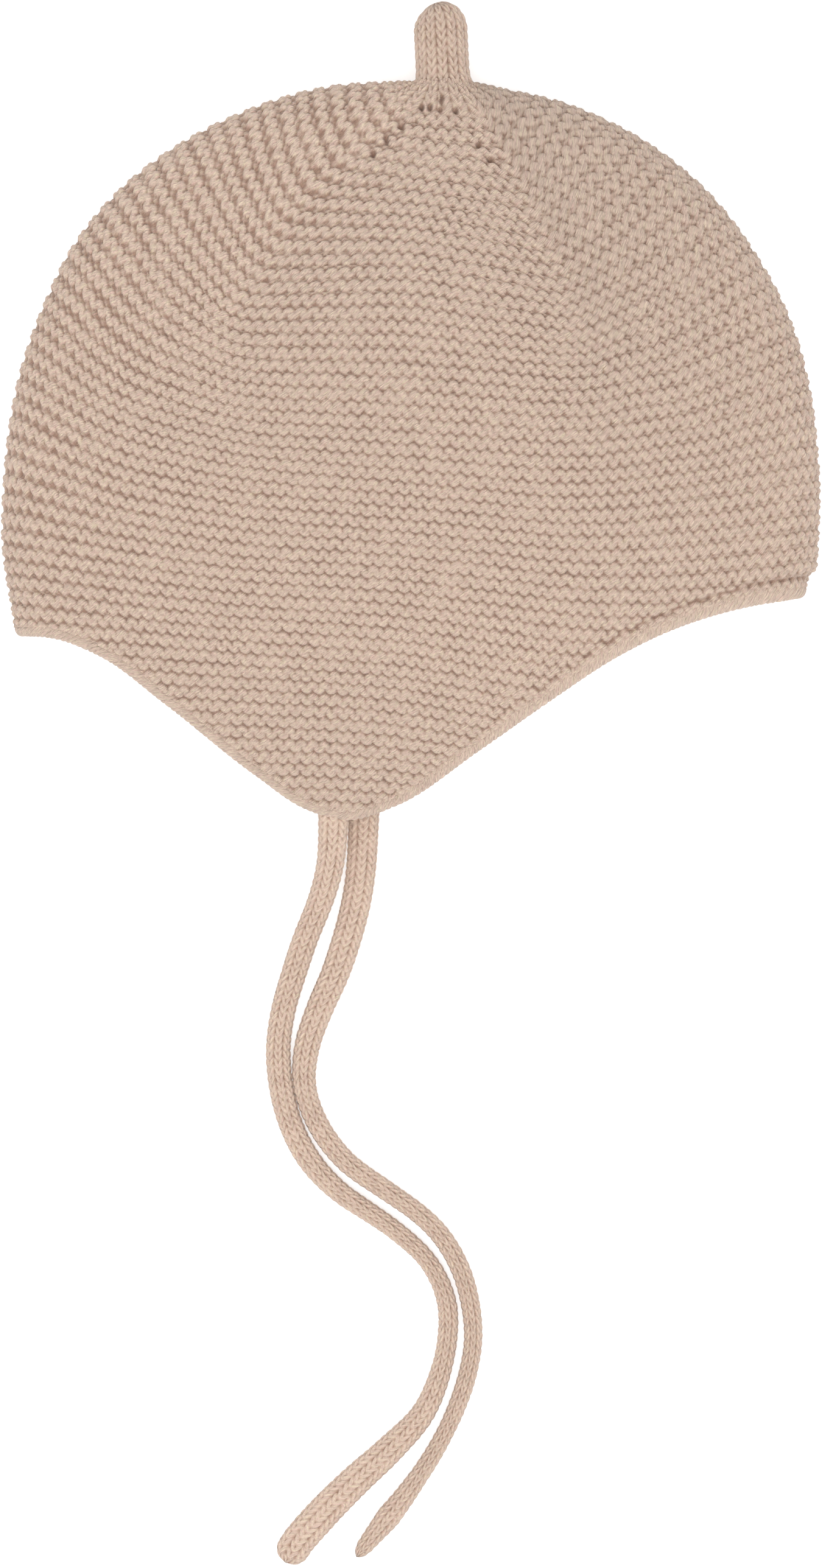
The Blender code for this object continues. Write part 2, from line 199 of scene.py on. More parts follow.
# The nub
NUB_RADIUS = 0.0060
NUB_LENGTH = 0.0170
NUB_LEAN = -0.0008        # how far its solid's tip leans towards the nape
NUB_COLUMNS = 14
NUB_ROW = 0.00195
NUB_SINK = 0.0022         # how far its foot reaches into the crown
NUB_FOOT_SPREAD = 0.0012  # how much wider its foot is
NUB_TIP_SHIFT = -0.0009   # of the tip towards the nape
NUB_FOOT_LENGTH = 0.0050
NUB_FOOT_FLATNESS = 0.7   # share of the foot's spread that its height leaves out
NUB_RELIEF = 1.25         # of the depth of the smooth knitting
NUB_FINE_POINTS = 200

# The ties: heights, routes, and widths along them
TIE_RADIUS = 0.0025       # of their solids
TIE_UPPER_HEIGHT = 0.0075     # where the upper one leaves its flap
TIE_DROP_LENGTH = 0.030   # along which it comes down to the surface
TIE_UPPER_ROUTE = (
    (-0.0169, -0.0905), (-0.0171, -0.0951), (-0.0176, -0.0998), (-0.0198, -0.1078),
    (-0.0230, -0.1158), (-0.0257, -0.1239), (-0.0280, -0.1319), (-0.0291, -0.1400),
    (-0.0286, -0.1480), (-0.0267, -0.1560), (-0.0228, -0.1641), (-0.0154, -0.1721),
    (-0.0095, -0.1761), (-0.0036, -0.1802), (0.0046, -0.1882), (0.0080, -0.1962),
    (0.0081, -0.2043), (0.0064, -0.2123), (0.0029, -0.2204), (-0.0044, -0.2284),
    (-0.0131, -0.2364), (-0.0210, -0.2445), (-0.0250, -0.2492), (-0.0276, -0.2535),
)
TIE_LOWER_ROUTE = (
    (-0.0103, -0.0896), (-0.0105, -0.0944), (-0.0108, -0.0998), (-0.0119, -0.1078),
    (-0.0139, -0.1158), (-0.0166, -0.1239), (-0.0201, -0.1319), (-0.0228, -0.1400),
    (-0.0234, -0.1480), (-0.0209, -0.1560), (-0.0153, -0.1641), (-0.0046, -0.1721),
    (0.0011, -0.1761), (0.0056, -0.1802), (0.0107, -0.1882), (0.0131, -0.1962),
    (0.0138, -0.2043), (0.0125, -0.2123), (0.0097, -0.2204), (0.0057, -0.2284),
    (0.0005, -0.2364), (-0.0057, -0.2445), (-0.0092, -0.2488), (-0.0119, -0.2523),
)
TIE_UPPER_WIDTHS = (0.0070, 0.0063, 0.0058, 0.0058, 0.0056, 0.0056, 0.0055, 0.0054, 0.0048,
                    0.0044, 0.0042, 0.0045, 0.0046, 0.0053, 0.0065, 0.0072, 0.0076, 0.0074)
TIE_LOWER_WIDTHS = (0.0070, 0.0068, 0.0067, 0.0066, 0.0063, 0.0058, 0.0051, 0.0049, 0.0047,
                    0.0045, 0.0045, 0.0044, 0.0042, 0.0042, 0.0040, 0.0043, 0.0055, 0.0032)
TIE_SPREAD = 1.005        # of the routes from the photograph's middle, as they lie below its focus
TIE_THICKNESS = 0.0044
TIE_COLUMNS = 7
TIE_ROW = 0.00172
TIE_HIDDEN_LENGTH = 0.0032    # of its start, which the hem hides from above
TIE_RELIEF = 1.10         # of the depth of the smooth knitting
TIE_END_LENGTH = 0.0035   # over which its free end closes
TIE_POINTS = 68
TIE_FINE_POINTS = 400

# Camera and light
CAMERA_LENS = 100.0
CAMERA_SENSOR = 36.0
CAMERA_CLIP = (0.05, 10.0)
PHOTO_CENTRE = (0.0001, -0.0821)
PHOTO_HEIGHT = 0.3452     # of the ground that the photograph shows from top to bottom
FOCUS_HEIGHT = 0.007
FLOOR_SIZE = 3.0
FLOOR_COLOUR = (0.62, 0.62, 0.62)
FLOOR_GLOW = 0.55         # of the lit floor, which keeps its shadows faint
FLOOR_ROUGHNESS = 0.9
FLOOR_SHINE = 0.1
SKY_COLOUR = (1.0, 1.0, 1.0)
SKY_STRENGTH = 0.85
LAMP_PLACE = (-0.03, -0.27, 0.90)
LAMP_TARGET = (0.0, -0.05, 0.0)
LAMP_SIZE = 0.6
LAMP_POWER = 4.2

# Wool
WOOL_FINISH = {"Roughness": 0.92, "Specular IOR Level": 0.15, "Sheen Weight": 0.35,
               "Sheen Roughness": 0.45, "Sheen Tint": (1.0, 0.97, 0.94, 1.0)}
WOOL_TONES = ((0.32, (0.610, 0.420, 0.355)), (0.50, (0.645, 0.495, 0.402)),
              (0.68, (0.690, 0.575, 0.415)))
# Painted shade: the dark brown that the wool is mixed towards in holes, creases and gaps, the more
# the deeper they are
PAINTED_HOLE_SHADE = (0.27, 0.145, 0.098)
STROKES = (0.80, 1.16)    # range of lightness along the yarn: the fibres' own tone and a painted highlight where their bump stands up
FIBRE_DEPTH = 0.0005
# Lightness along the cords' yarn, raised above the garter stitch's: painted light that makes the
# ties lighter than the same wool elsewhere
CORD_STROKES_PAINTED_LIGHTER = (0.95, 1.21)
NUB_STROKES = (0.89, 1.13)
CORD_FIBRE_DEPTH = 0.0003
YARN_UNITS = 1000         # of the yarn's coordinates for the material, in a metre
LINING_SHADE = 0.5        # share of a hole's full depth, as which the lining gets painted shade for the bonnet's inside


def smooth_between(knots, values, places):
    """Cubic curve through values at knots, with the slopes of their neighbours."""
    knots = np.asarray(knots, dtype=float)
    values = np.asarray(values, dtype=float)
    places = np.atleast_1d(np.asarray(places, dtype=float))
    slopes = np.gradient(values, knots, axis=0)
    start = np.clip(np.searchsorted(knots, places, side="right") - 1, 0, len(knots) - 2)
    width = knots[start + 1] - knots[start]
    share = (places - knots[start]) / width
    extra = (1,) * (values.ndim - 1)
    width = width.reshape(-1, *extra)
    share = share.reshape(-1, *extra)
    near = values[start] * (1 + 2 * share) * (1 - share) ** 2
    near = near + slopes[start] * width * share * (1 - share) ** 2
    far = values[start + 1] * share ** 2 * (3 - 2 * share)
    far = far + slopes[start + 1] * width * share ** 2 * (share - 1)
    return near + far


def unit(vectors):
    """The vectors, made one long."""
    return vectors / np.maximum(np.linalg.norm(vectors, axis=-1, keepdims=True), 1e-12)


def lengths_along(points):
    """Distance from the first point to each point, along the line through them."""
    steps = np.linalg.norm(np.diff(points, axis=0), axis=1)
    return np.concatenate([[0.0], np.cumsum(steps)])


def at_shares(points, shares):
    """Points at the given shares of a line's length."""
    lengths = lengths_along(points)
    columns = [np.interp(shares * lengths[-1], lengths, column) for column in points.T]
    return np.stack(columns, axis=1)


def round_corners(points, turn_length):
    """A line through points, with its corners rounded over turn_length."""
    line = at_shares(points, np.linspace(0, 1, 2 * FINE_POINTS))
    reach = turn_length / lengths_along(line)[-1] * len(line) / 2
    half = int(np.clip(round(reach), 1, FINE_POINTS // 2))
    window = np.hanning(2 * half + 3)[1:-1]
    window = window / window.sum()
    before = 2 * line[0] - line[half:0:-1]
    after = 2 * line[-1] - line[-2:-half - 2:-1]
    padded = np.concatenate([before, line, after])
    return np.stack([np.convolve(column, window, mode="valid") for column in padded.T], axis=1)


def round_corner_points(ridge):
    """The round's seven corners on the upper layer, in metres."""
    ridges = np.array([row[0] for row in ROUNDS], dtype=float)
    places = np.array([row[2:] for row in ROUNDS], dtype=float)
    return smooth_between(ridges, places, ridge)[0] * (FLAT_WIDTH, FLAT_LENGTH)


def layer_lines(ridge):
    """The upper and the lower line of one round, both from the nape's fold to the brow's."""
    ridges = np.array([row[0] for row in ROUNDS], dtype=float)
    rises = np.array([row[1] for row in ROUNDS], dtype=float)
    rise = smooth_between(ridges, rises, ridge)[0] * CROWN_RISE
    turn = CORNER_LENGTH + CORNER_GROWTH * max(ridge, 0)
    flat = round_corners(round_corner_points(ridge), turn)
    crowded = (1 - np.cos(np.linspace(0, math.pi, FINE_POINTS))) / 2
    flat = at_shares(flat, crowded)
    lengths = lengths_along(flat)
    from_fold = np.minimum(lengths, lengths[-1] - lengths)
    inward = np.minimum(from_fold / FOLD_DEPTH, 1.0)
    curve = np.sqrt(1 - (1 - inward) ** 2)
    swell = rise * np.sin(math.pi * lengths / lengths[-1])
    upper = np.column_stack([flat, FOLD_HEIGHT + FOLD_RISE * curve + swell])
    lower = np.column_stack([flat, FOLD_HEIGHT - FOLD_HEIGHT * curve])
    return upper, lower


def all_rounds():
    """Every round's ridge number, with its upper and its lower line."""
    ridges = np.arange(FIRST_RIDGE, LAST_RIDGE + RIDGE_STEP / 2, RIDGE_STEP)
    return ridges, [layer_lines(ridge) for ridge in ridges]


def ring_shares(upper_count, under_count):
    """Share of its layer's length for each column of a ring, and whether it is on the upper one.

    The ring goes over the upper layer from the nape to the brow and comes back underneath.
    """
    there = np.linspace(0, 1, upper_count + 1)[:-1]
    back = np.linspace(0, 1, under_count + 1)[:0:-1]
    on_top = np.arange(upper_count + under_count) < upper_count
    return np.concatenate([there, back]), on_top


def ring_grid(lines, shares, on_top):
    """Outer surface by round and column, with its outward normals."""
    grid = []
    for upper, lower in lines:
        grid.append(np.concatenate([at_shares(upper, shares[on_top]),
                                    at_shares(lower, shares[~on_top])]))
    grid = np.array(grid)
    drawn = np.clip((GATHER_START - grid[..., 1]) / GATHER_LENGTH, 0, 1)
    beside = np.clip(1 - (FLAT_WIDTH / 2 - grid[..., 0]) / GATHER_WIDTH, 0, 1)
    grid[..., 0] -= GATHER_DEPTH * drawn ** 2 * (3 - 2 * drawn) * beside ** 2
    along = np.roll(grid, -1, axis=1) - np.roll(grid, 1, axis=1)
    down = np.gradient(grid, axis=0)
    return grid, unit(np.cross(down, along))


def hem_line(insets):
    """The hem's line, moved in from its outer edge by insets, one value or one for each point."""
    points = np.array(HEM) * (FLAT_WIDTH, FLAT_LENGTH)
    places = lengths_along(points)
    fine = smooth_between(places, points, np.linspace(0, places[-1], FINE_POINTS))
    forward = unit(np.gradient(fine, axis=0))
    inward = np.stack([-forward[:, 1], forward[:, 0]], axis=1)
    return fine + inward * np.reshape(insets, (-1, 1))


def hem_half_widths(across):
    """Half the hem's width at places across the bonnet."""
    shares, halves = np.array(HEM_HALF_WIDTHS).T
    return np.interp(across / FLAT_WIDTH, shares, halves)


def ridges_at_hem(ridges, grid, on_top, insets):
    """For each column, the ridge at which the hem's line crosses it."""
    crossings = []
    for column, above_table in enumerate(on_top):
        line = hem_line(insets + (0.0 if above_table else UNDER_INSET))
        path = grid[:, column]
        above = path[:, 1] - np.interp(path[:, 0], line[:, 0], line[:, 1])
        first = int(np.argmax(above < 0))
        share = above[first - 1] / (above[first - 1] - above[first])
        crossings.append(ridges[first - 1] + share * RIDGE_STEP)
    return np.array(crossings)


def at_ridges(ridges, grid, places):
    """Values of a grid at ridge numbers, given by row and column or for each column."""
    index = np.clip((places - ridges[0]) / RIDGE_STEP, 0, len(ridges) - BEFORE_LAST)
    start = index.astype(int)
    share = (index - start)[..., None]
    columns = np.arange(grid.shape[1])
    columns = np.broadcast_to(columns, places.shape)
    return grid[start, columns] * (1 - share) + grid[start + 1, columns] * share


def soft_noise(across, along, noise, shift_across=0, shift_along=0):
    """Smooth noise from -1 to 1, of the given features in a unit each way and seed."""
    across_rate, along_rate, seed = noise
    table = np.random.default_rng(seed).uniform(-1, 1, (NOISE_CELLS, NOISE_CELLS))
    across = across * across_rate + shift_across
    along = along * along_rate + shift_along
    column = np.floor(across).astype(int)
    row = np.floor(along).astype(int)
    share_x = across - column
    share_y = along - row
    share_x = share_x * share_x * (3 - 2 * share_x)
    share_y = share_y * share_y * (3 - 2 * share_y)
    left = column % NOISE_CELLS
    right = (column + 1) % NOISE_CELLS
    low = row % NOISE_CELLS
    high = (row + 1) % NOISE_CELLS
    near = table[low, left] * (1 - share_x) + table[low, right] * share_x
    far = table[high, left] * (1 - share_x) + table[high, right] * share_x
    return near * (1 - share_y) + far * share_y


def softened(tile):
    """A repeating tile with its sharpest edges rounded."""
    for _ in range(TILE_SOFTENINGS):
        for axis in (0, 1):
            tile = (np.roll(tile, 1, axis) + 2 * tile + np.roll(tile, -1, axis)) / 4
    return tile


def garter_tile():
    """Relief of one stitch of one ridge: an arch at its middle and a bowl between stitches."""
    ticks = np.arange(TILE_POINTS) / TILE_POINTS
    across, along = np.meshgrid(ticks, ticks)
    tile = np.full(across.shape, -1.0)
    for x, y, half_width, half_height, bend in GARTER_BUMPS:
        for shift in (-1, 0, 1):
            away_x = (across - x - shift) / half_width
            away_y = (along - y - bend * away_x ** 2 + 0.5) % 1.0 - 0.5
            reach = 1 - np.abs(away_x) ** BUMP_SQUARENESS - (away_y / half_height) ** 2
            tile = np.maximum(tile, np.maximum(reach, 0) ** BUMP_FULLNESS - 1)
    return softened(tile * RELIEF_DEPTH)


def smooth_tile():
    """Relief of one stitch of smooth knitting: two legs that slant to the column's middle."""
    ticks = np.arange(TILE_POINTS) / TILE_POINTS
    across, along = np.meshgrid(ticks, ticks)
    beside = 2 * np.abs(across - 0.5)
    creases = 1 - np.abs(np.sin(math.pi * (along + V_SLOPE * beside)))
    tile = -V_LEG_DEPTH * creases - V_EDGE_DEPTH * beside ** V_EDGE_SHARPNESS
    return softened(tile - V_MIDDLE_DEPTH * np.exp(-(beside / V_MIDDLE_WIDTH) ** 2))


def tile_heights(tile, across, along):
    """Heights of a repeating tile at places given in repeats."""
    x = (across % 1.0) * TILE_POINTS
    y = (along % 1.0) * TILE_POINTS
    column = x.astype(int)
    row = y.astype(int)
    share_x = x - column
    share_y = y - row
    left = column % TILE_POINTS
    right = (column + 1) % TILE_POINTS
    low = row % TILE_POINTS
    high = (row + 1) % TILE_POINTS
    near = tile[low, left] * (1 - share_x) + tile[low, right] * share_x
    far = tile[high, left] * (1 - share_x) + tile[high, right] * share_x
    return near * (1 - share_y) + far * share_y


def stitch_counts(ridge, lines_by_ridge):
    """Shares of the layer at its folds, mitres and middle, with the stitch number of each."""
    ridge = int(min(ridge, LAST_DECREASE))
    corners = lengths_along(round_corner_points(ridge + 0.5))
    corners = corners / corners[-1]
    shares = np.array([0.0, corners[2], corners[3], corners[4], 1.0])
    length = lengths_along(lines_by_ridge[ridge + 0.5][0])[-1]
    pitch = np.interp(ridge, *np.array(STITCH_PITCHES).T)
    nape_side, nape_middle, brow_middle, brow_side = np.diff(shares) * length / pitch
    nape_middle = max(round(nape_middle), 1)
    brow_middle = max(round(brow_middle), 1)
    nape_side = max(round(2 * nape_side) / 2, 0.5)
    brow_side = max(round(2 * brow_side) / 2, 0.5)
    numbers = np.array([-nape_middle - nape_side, -nape_middle, 0, brow_middle,
                        brow_middle + brow_side])
    return shares, numbers


def triangle_piece(name, points, triangles, yarn, material, node, rims=()):
    """A mesh that stands for a CAD node, with its yarn's coordinates for the material.

    It is smooth but for its rims, which are loops of vertex numbers.
    """
    used, places = np.unique(triangles, return_inverse=True)
    mesh = bpy.data.meshes.new(name)
    mesh.from_pydata(points[used].tolist(), [], places.reshape(-1, 3).tolist())
    attribute = mesh.attributes.new("yarn", "FLOAT_VECTOR", "POINT")
    attribute.data.foreach_set("vector", yarn[used].astype(np.float32).ravel())
    mesh.shade_smooth()
    if len(rims):
        ends = np.zeros(2 * len(mesh.edges), dtype=np.int32)
        mesh.edges.foreach_get("vertices", ends)
        ends = np.sort(used[ends.reshape(-1, 2)], axis=1)
        sides = np.concatenate([np.column_stack([rim, np.roll(rim, -1)]) for rim in rims])
        sides = np.sort(sides, axis=1)
        on_rim = np.isin(ends @ (len(points), 1), sides @ (len(points), 1))
        sharp = mesh.attributes.new("sharp_edge", "BOOLEAN", "EDGE")
        sharp.data.foreach_set("value", on_rim)
    mesh.materials.append(material)
    item = bpy.data.objects.new(name, mesh)
    bpy.context.scene.collection.objects.link(item)
    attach(item, "root")
    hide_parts(node)
    return item


def quads_between(first, second):
    """Two triangles for each side between two loops of vertex numbers."""
    return np.concatenate([np.column_stack([first, second, np.roll(second, -1)]),
                           np.column_stack([first, np.roll(second, -1), np.roll(first, -1)])])


def real_triangles(triangles):
    """The triangles whose three corners differ."""
    a, b, c = triangles.T
    return triangles[(a != b) & (b != c) & (a != c)]


def stitch_numbers(shares, whole, start, end, lines_by_ridge):
    """Number of the stitch at each place of a band, counted from the middle of its ridge."""
    stitch = np.zeros(whole.shape)
    for ridge in range(start, end + 1):
        knots, numbers = stitch_counts(ridge, lines_by_ridge)
        numbered = np.broadcast_to(np.interp(shares, knots, numbers), whole.shape)
        stitch = np.where(whole == ridge, numbered, stitch)
    return stitch


def garter_relief(shares, on_top, places, stitch, spacing, tile):
    """Height of the garter stitch at each place of a band, with gaps between wide ridges."""
    whole = np.floor(places).astype(int)
    loose = np.clip((shares - LOOSE_FROM) / LOOSE_OVER, 0, 1) * on_top
    loose = loose * (1 - np.clip((places - LOOSE_RIDGES[0]) / np.diff(LOOSE_RIDGES), 0, 1))
    wander_x = (WANDER_ACROSS + LOOSE_ACROSS * loose) * soft_noise(
        stitch, places, WANDER_ACROSS_NOISE, whole * RIDGE_SHIFT)
    wander_y = (WANDER_ALONG + LOOSE_ALONG * loose) * soft_noise(
        stitch, places, WANDER_ALONG_NOISE, 0, WANDER_ALONG_SHIFT)
    nape = np.clip((NAPE_TO - shares) / NAPE_FADE, 0, 1) * on_top
    widest = BROW_STRETCH + (NAPE_STRETCH - BROW_STRETCH) * nape
    stretch = np.clip(spacing / GARTER_PITCH, 1.0, widest)
    within = (places - whole + wander_y - 0.5) * stretch
    height = tile_heights(tile, stitch + wander_x, np.clip(within, -0.5, TILE_EDGE) + 0.5)
    gap = np.clip((np.abs(within) - 0.5) / GAP_RAMP, 0, 1)
    beside_leg = (1 + np.cos(2 * math.pi * (stitch + wander_x))) / 2
    gap_depth = BROW_GAP_DEPTH + (NAPE_GAP_DEPTH - BROW_GAP_DEPTH) * nape
    gap_depth = gap_depth * (LEG_SHARE + (1 - LEG_SHARE) * beside_leg)
    height = height * (1 - gap) - gap_depth * gap
    return height * (1 + FULLNESS_RANGE * soft_noise(stitch, places, FULLNESS_NOISE))


def crown_and_edge_relief(height, shares, on_top, places, surface, to_edge, smooth):
    """The relief with the nub's columns and the eyelets, and the crease beside the rolled hem."""
    flare = np.clip((FLARE_END - places) / FLARE_BLEND, 0, 1)
    columns = np.broadcast_to((shares - 0.5) * FLARE_COLUMNS + 0.5, places.shape)
    ribs = tile_heights(smooth, columns, (places - FIRST_RIDGE) * FLARE_ROWS_PER_RIDGE)
    height = height * (1 - flare) + ribs * flare
    for eyelet_x, eyelet_y, half_width, half_height in EYELETS:
        away_x = (surface[..., 0] - eyelet_x) / half_width
        away_y = (surface[..., 1] - eyelet_y) / half_height
        height = height - EYELET_DEPTH * np.exp(-(away_x ** 2 + away_y ** 2)) * on_top
    crease = np.exp(-((to_edge - HEM_CREASE_PLACE) / HEM_CREASE_WIDTH) ** 2)
    return height - HEM_CREASE_DEPTH * crease * np.clip(surface[..., 0] / HEM_CREASE_RAMP, 0, 1)


def row_loops(start, end, places, edge, base):
    """Loops of vertex numbers for a band's rows, from base on, each held back at the hem."""
    count = len(edge)
    reached = places >= np.maximum(edge, start)[None, :] - TINY
    last = np.where(edge >= end, len(places) - 1, np.argmax(reached, axis=0))
    columns = np.arange(count)
    return [base + np.minimum(row, last) * count + columns for row in range(len(places))]


def garter_band(name, start, end, ridges, lines, lines_by_ridge, tile, smooth, material):
    """One closed piece of the fabric: the rounds from start to end, cut off at the hem."""
    _, numbers = stitch_counts(end, lines_by_ridge)
    stitches = numbers[-1] - numbers[0]
    shares, on_top = ring_shares(int(round(stitches * UPPER_COLUMNS_PER_STITCH)),
                                 int(round(stitches * UNDER_COLUMNS_PER_STITCH)))
    grid, normals = ring_grid(lines, shares, on_top)
    edge = ridges_at_hem(ridges, grid, on_top, HEM_TUCK)

    rows = np.linspace(start, end, int((end - start) * ROWS_PER_RIDGE) + 1)
    places = np.clip(rows[:, None], start, np.maximum(edge, start)[None, :])
    surface = at_ridges(ridges, grid, places)
    outward = unit(at_ridges(ridges, normals, places))
    spacing = np.linalg.norm(np.gradient(grid, RIDGE_STEP, axis=0), axis=-1, keepdims=True)
    spacing = at_ridges(ridges, spacing, places)[..., 0]
    whole = np.floor(places).astype(int)
    stitch = stitch_numbers(shares, whole, start, end, lines_by_ridge)
    height = garter_relief(shares, on_top, places, stitch, spacing, tile)
    height = crown_and_edge_relief(height, shares, on_top, places, surface,
                                   (edge - places) * spacing, smooth)
    lift = PROUD * np.clip(surface[..., 2] / FOLD_HEIGHT, 0, 1)
    outer = surface + outward * (height + lift)[..., None]
    lengths = np.array([lengths_along(upper)[-1] for upper, _ in lines])
    along = (shares - 0.5) * np.interp(places, ridges, lengths) * YARN_UNITS
    across = places * GARTER_PITCH * YARN_UNITS + YARN_TWIST * along
    # The yarn's third part is the depth of the holes, gaps, eyelets and crease, which the material
    # turns into painted shade
    outer_yarn = np.stack([along, across, np.clip(-height / RELIEF_DEPTH, 0, 1)], axis=-1)

    lining_rows = np.linspace(start, end, LINING_ROWS_PER_BAND)
    lining_places = np.clip(lining_rows[:, None], start, np.maximum(edge, start)[None, :])
    lining = at_ridges(ridges, grid, lining_places)
    lining = lining - unit(at_ridges(ridges, normals, lining_places)) * WALL
    # The lining gets painted shade, as a hole of this share of the full depth would
    lining_yarn = np.zeros(lining.shape)
    lining_yarn[..., 2] = LINING_SHADE

    outer_loops = row_loops(start, end, places, edge, 0)
    lining_loops = row_loops(start, end, lining_places, edge, places.size)
    parts = [quads_between(*pair) for pair in zip(outer_loops[:-1], outer_loops[1:])]
    parts += [quads_between(*pair) for pair in zip(lining_loops[1:], lining_loops[:-1])]
    open_here = (edge > start) | (np.roll(edge, -1) > start)
    open_here = np.concatenate([open_here, open_here])
    parts.append(quads_between(lining_loops[0], outer_loops[0])[open_here])
    parts.append(quads_between(outer_loops[-1], lining_loops[-1])[open_here])
    points = np.concatenate([outer.reshape(-1, 3), lining.reshape(-1, 3)])
    yarn = np.concatenate([outer_yarn.reshape(-1, 3), lining_yarn.reshape(-1, 3)])
    triangles = real_triangles(np.concatenate(parts))
    if start == FIRST_RIDGE:
        points, yarn, triangles = close_collar(points, yarn, triangles, outer_loops[0],
                                               lining_loops[0])
    rims = (outer_loops[0], outer_loops[-1], lining_loops[0], lining_loops[-1])
    return triangle_piece(name, points, triangles, yarn, material, "bonnet_body",
                          rims)


def close_collar(points, yarn, triangles, outer_ring, lining_ring):
    """The first round, filled by a fan on each face of the fabric in place of its edge."""
    wall = np.isin(triangles, outer_ring).any(axis=1) & np.isin(triangles, lining_ring).any(axis=1)
    centres = np.array([points[outer_ring].mean(axis=0), points[lining_ring].mean(axis=0)])
    points = np.concatenate([points, centres])
    yarn = np.concatenate([yarn, yarn[[outer_ring[0], lining_ring[0]]]])
    outer_centre = np.full(len(outer_ring), len(points) - 2)
    lining_centre = np.full(len(lining_ring), len(points) - 1)
    fans = np.concatenate([
        np.column_stack([outer_ring, np.roll(outer_ring, -1), outer_centre]),
        np.column_stack([np.roll(lining_ring, -1), lining_ring, lining_centre]),
    ])
    return points, yarn, np.concatenate([triangles[~wall], fans])


def tube_piece(name, centres, sideways, upward, half_width, half_height, relief, yarn, material,
               node, closed):
    """A closed tube: an oval round each centre, with relief added along its own outward way."""
    sides = relief.shape[1]
    angles = np.arange(sides) * 2 * math.pi / sides
    out = np.cos(angles)[None, :, None] * sideways[:, None] \
        + np.sin(angles)[None, :, None] * upward[:, None]
    oval = np.cos(angles)[None, :, None] * (sideways * half_width[:, None])[:, None] \
        + np.sin(angles)[None, :, None] * (upward * half_height[:, None])[:, None]
    points = centres[:, None] + oval + out * relief[..., None]
    rings = len(centres)
    ids = np.arange(rings * sides).reshape(rings, sides)
    pairs = [(row, (row + 1) % rings) for row in range(rings if closed else rings - 1)]
    parts = [quads_between(ids[row], ids[following]) for row, following in pairs]
    points = points.reshape(-1, 3)
    yarn = yarn.reshape(-1, 3)
    if not closed:
        points = np.concatenate([points, centres[[0, -1]]])
        yarn = np.concatenate([yarn, yarn[[0, -1]]])
        first = np.full(sides, rings * sides)
        last = first + 1
        parts.append(np.column_stack([ids[0], np.roll(ids[0], -1), first]))
        parts.append(np.column_stack([np.roll(ids[-1], -1), ids[-1], last]))
    triangles = np.concatenate(parts)
    return triangle_piece(name, points, triangles, yarn, material, node)


def tie_centre_line(route, start_height):
    """The cord's centre line, coming down from start_height to lie on the surface."""
    corners = PHOTO_CENTRE + (np.array(route) - PHOTO_CENTRE) * TIE_SPREAD
    places = lengths_along(corners)
    flat = smooth_between(places, corners, np.linspace(0, places[-1], TIE_POINTS))
    down = np.clip(lengths_along(flat) / TIE_DROP_LENGTH, 0, 1)
    drop = (start_height - TIE_RADIUS) * (1 + np.cos(math.pi * down)) / 2
    return np.column_stack([flat, TIE_RADIUS + drop])


def knitted_tube(name, centres, upward, half_width, half_height, columns, row, tile, material,
                 node):
    """A closed cord of smooth knitting along centres, oval where its halves differ."""
    length = lengths_along(centres)[-1]
    rings = int(length / row * TUBE_RINGS_PER_ROW)
    shares = np.linspace(0, 1, rings)
    places = lengths_along(centres) / length
    line = at_shares(centres, shares)
    half_width = np.interp(shares, places, half_width)
    half_height = np.interp(shares, places, half_height)
    forward = unit(np.gradient(line, axis=0))
    sideways = unit(np.cross(forward, upward))
    upward = np.cross(sideways, forward)
    sides = columns * TUBE_SIDES_PER_COLUMN
    across = np.arange(sides)[None, :] / TUBE_SIDES_PER_COLUMN + 0.5
    across = across - columns / 4
    along = (shares * length / row)[:, None]
    across, along = np.broadcast_arrays(across, along)
    wander = TUBE_WANDER * soft_noise(across, along, TUBE_WANDER_NOISE)
    height = tile_heights(tile, across + wander, along + wander)
    fullness = soft_noise(across, along, TUBE_FULLNESS_NOISE, TUBE_FULLNESS_SHIFT)
    height = height * (1 + TUBE_FULLNESS_RANGE * fullness)
    facing = np.abs(np.sin(np.arange(sides) * 2 * math.pi / sides))
    shape = height * (TUBE_SIDE_RELIEF + (1 - TUBE_SIDE_RELIEF) * facing)
    closing = np.minimum(half_width, half_height)[:, None] / NUB_RADIUS
    shape = shape * np.clip(closing * TUBE_CLOSING, 0, 1)
    beside = np.abs((across + wander) % 1.0 - 0.5) + along / (2 * V_SLOPE)
    streak = TUBE_STREAKS[0] * along * row + TUBE_STREAKS[1] * across * V_COLUMN
    # The yarn's third part is the creases' depth, which the material turns into painted shade
    yarn = np.stack([streak * YARN_UNITS, beside * YARN_UNITS * V_COLUMN,
                     np.clip(-height / V_DEPTH, 0, 1)], axis=-1)
    return tube_piece(name, line, sideways, upward, half_width, half_height, shape, yarn,
                      material, node, False)


def tie(name, route, widths, start_height, tile, material):
    """One tie, a knitted cord. It starts under the hem and its free end is rounded."""
    path = tie_centre_line(route, start_height)
    hidden = path[0] + TIE_HIDDEN_LENGTH * unit(path[0] - path[1])
    fine = at_shares(np.concatenate([[hidden], path]), np.linspace(0, 1, TIE_FINE_POINTS))
    lengths = lengths_along(fine)
    half_width = np.interp(lengths / lengths[-1], np.linspace(0, 1, len(widths)), widths) / 2
    to_end = np.clip((lengths[-1] - lengths) / TIE_END_LENGTH, 0, 1)
    closing = np.sqrt(np.maximum(1 - (1 - to_end) ** 2, END_KEPT))
    half_height = np.minimum(TIE_THICKNESS / 2, half_width)
    lowered = fine.copy()
    lowered[:, 2] += TIE_THICKNESS / 2 - TIE_RADIUS
    piece = knitted_tube(name + "_knit", lowered, np.array([0.0, 0.0, 1.0]), half_width * closing,
                         half_height * closing, TIE_COLUMNS, TIE_ROW, tile, material,
                         name)
    return piece


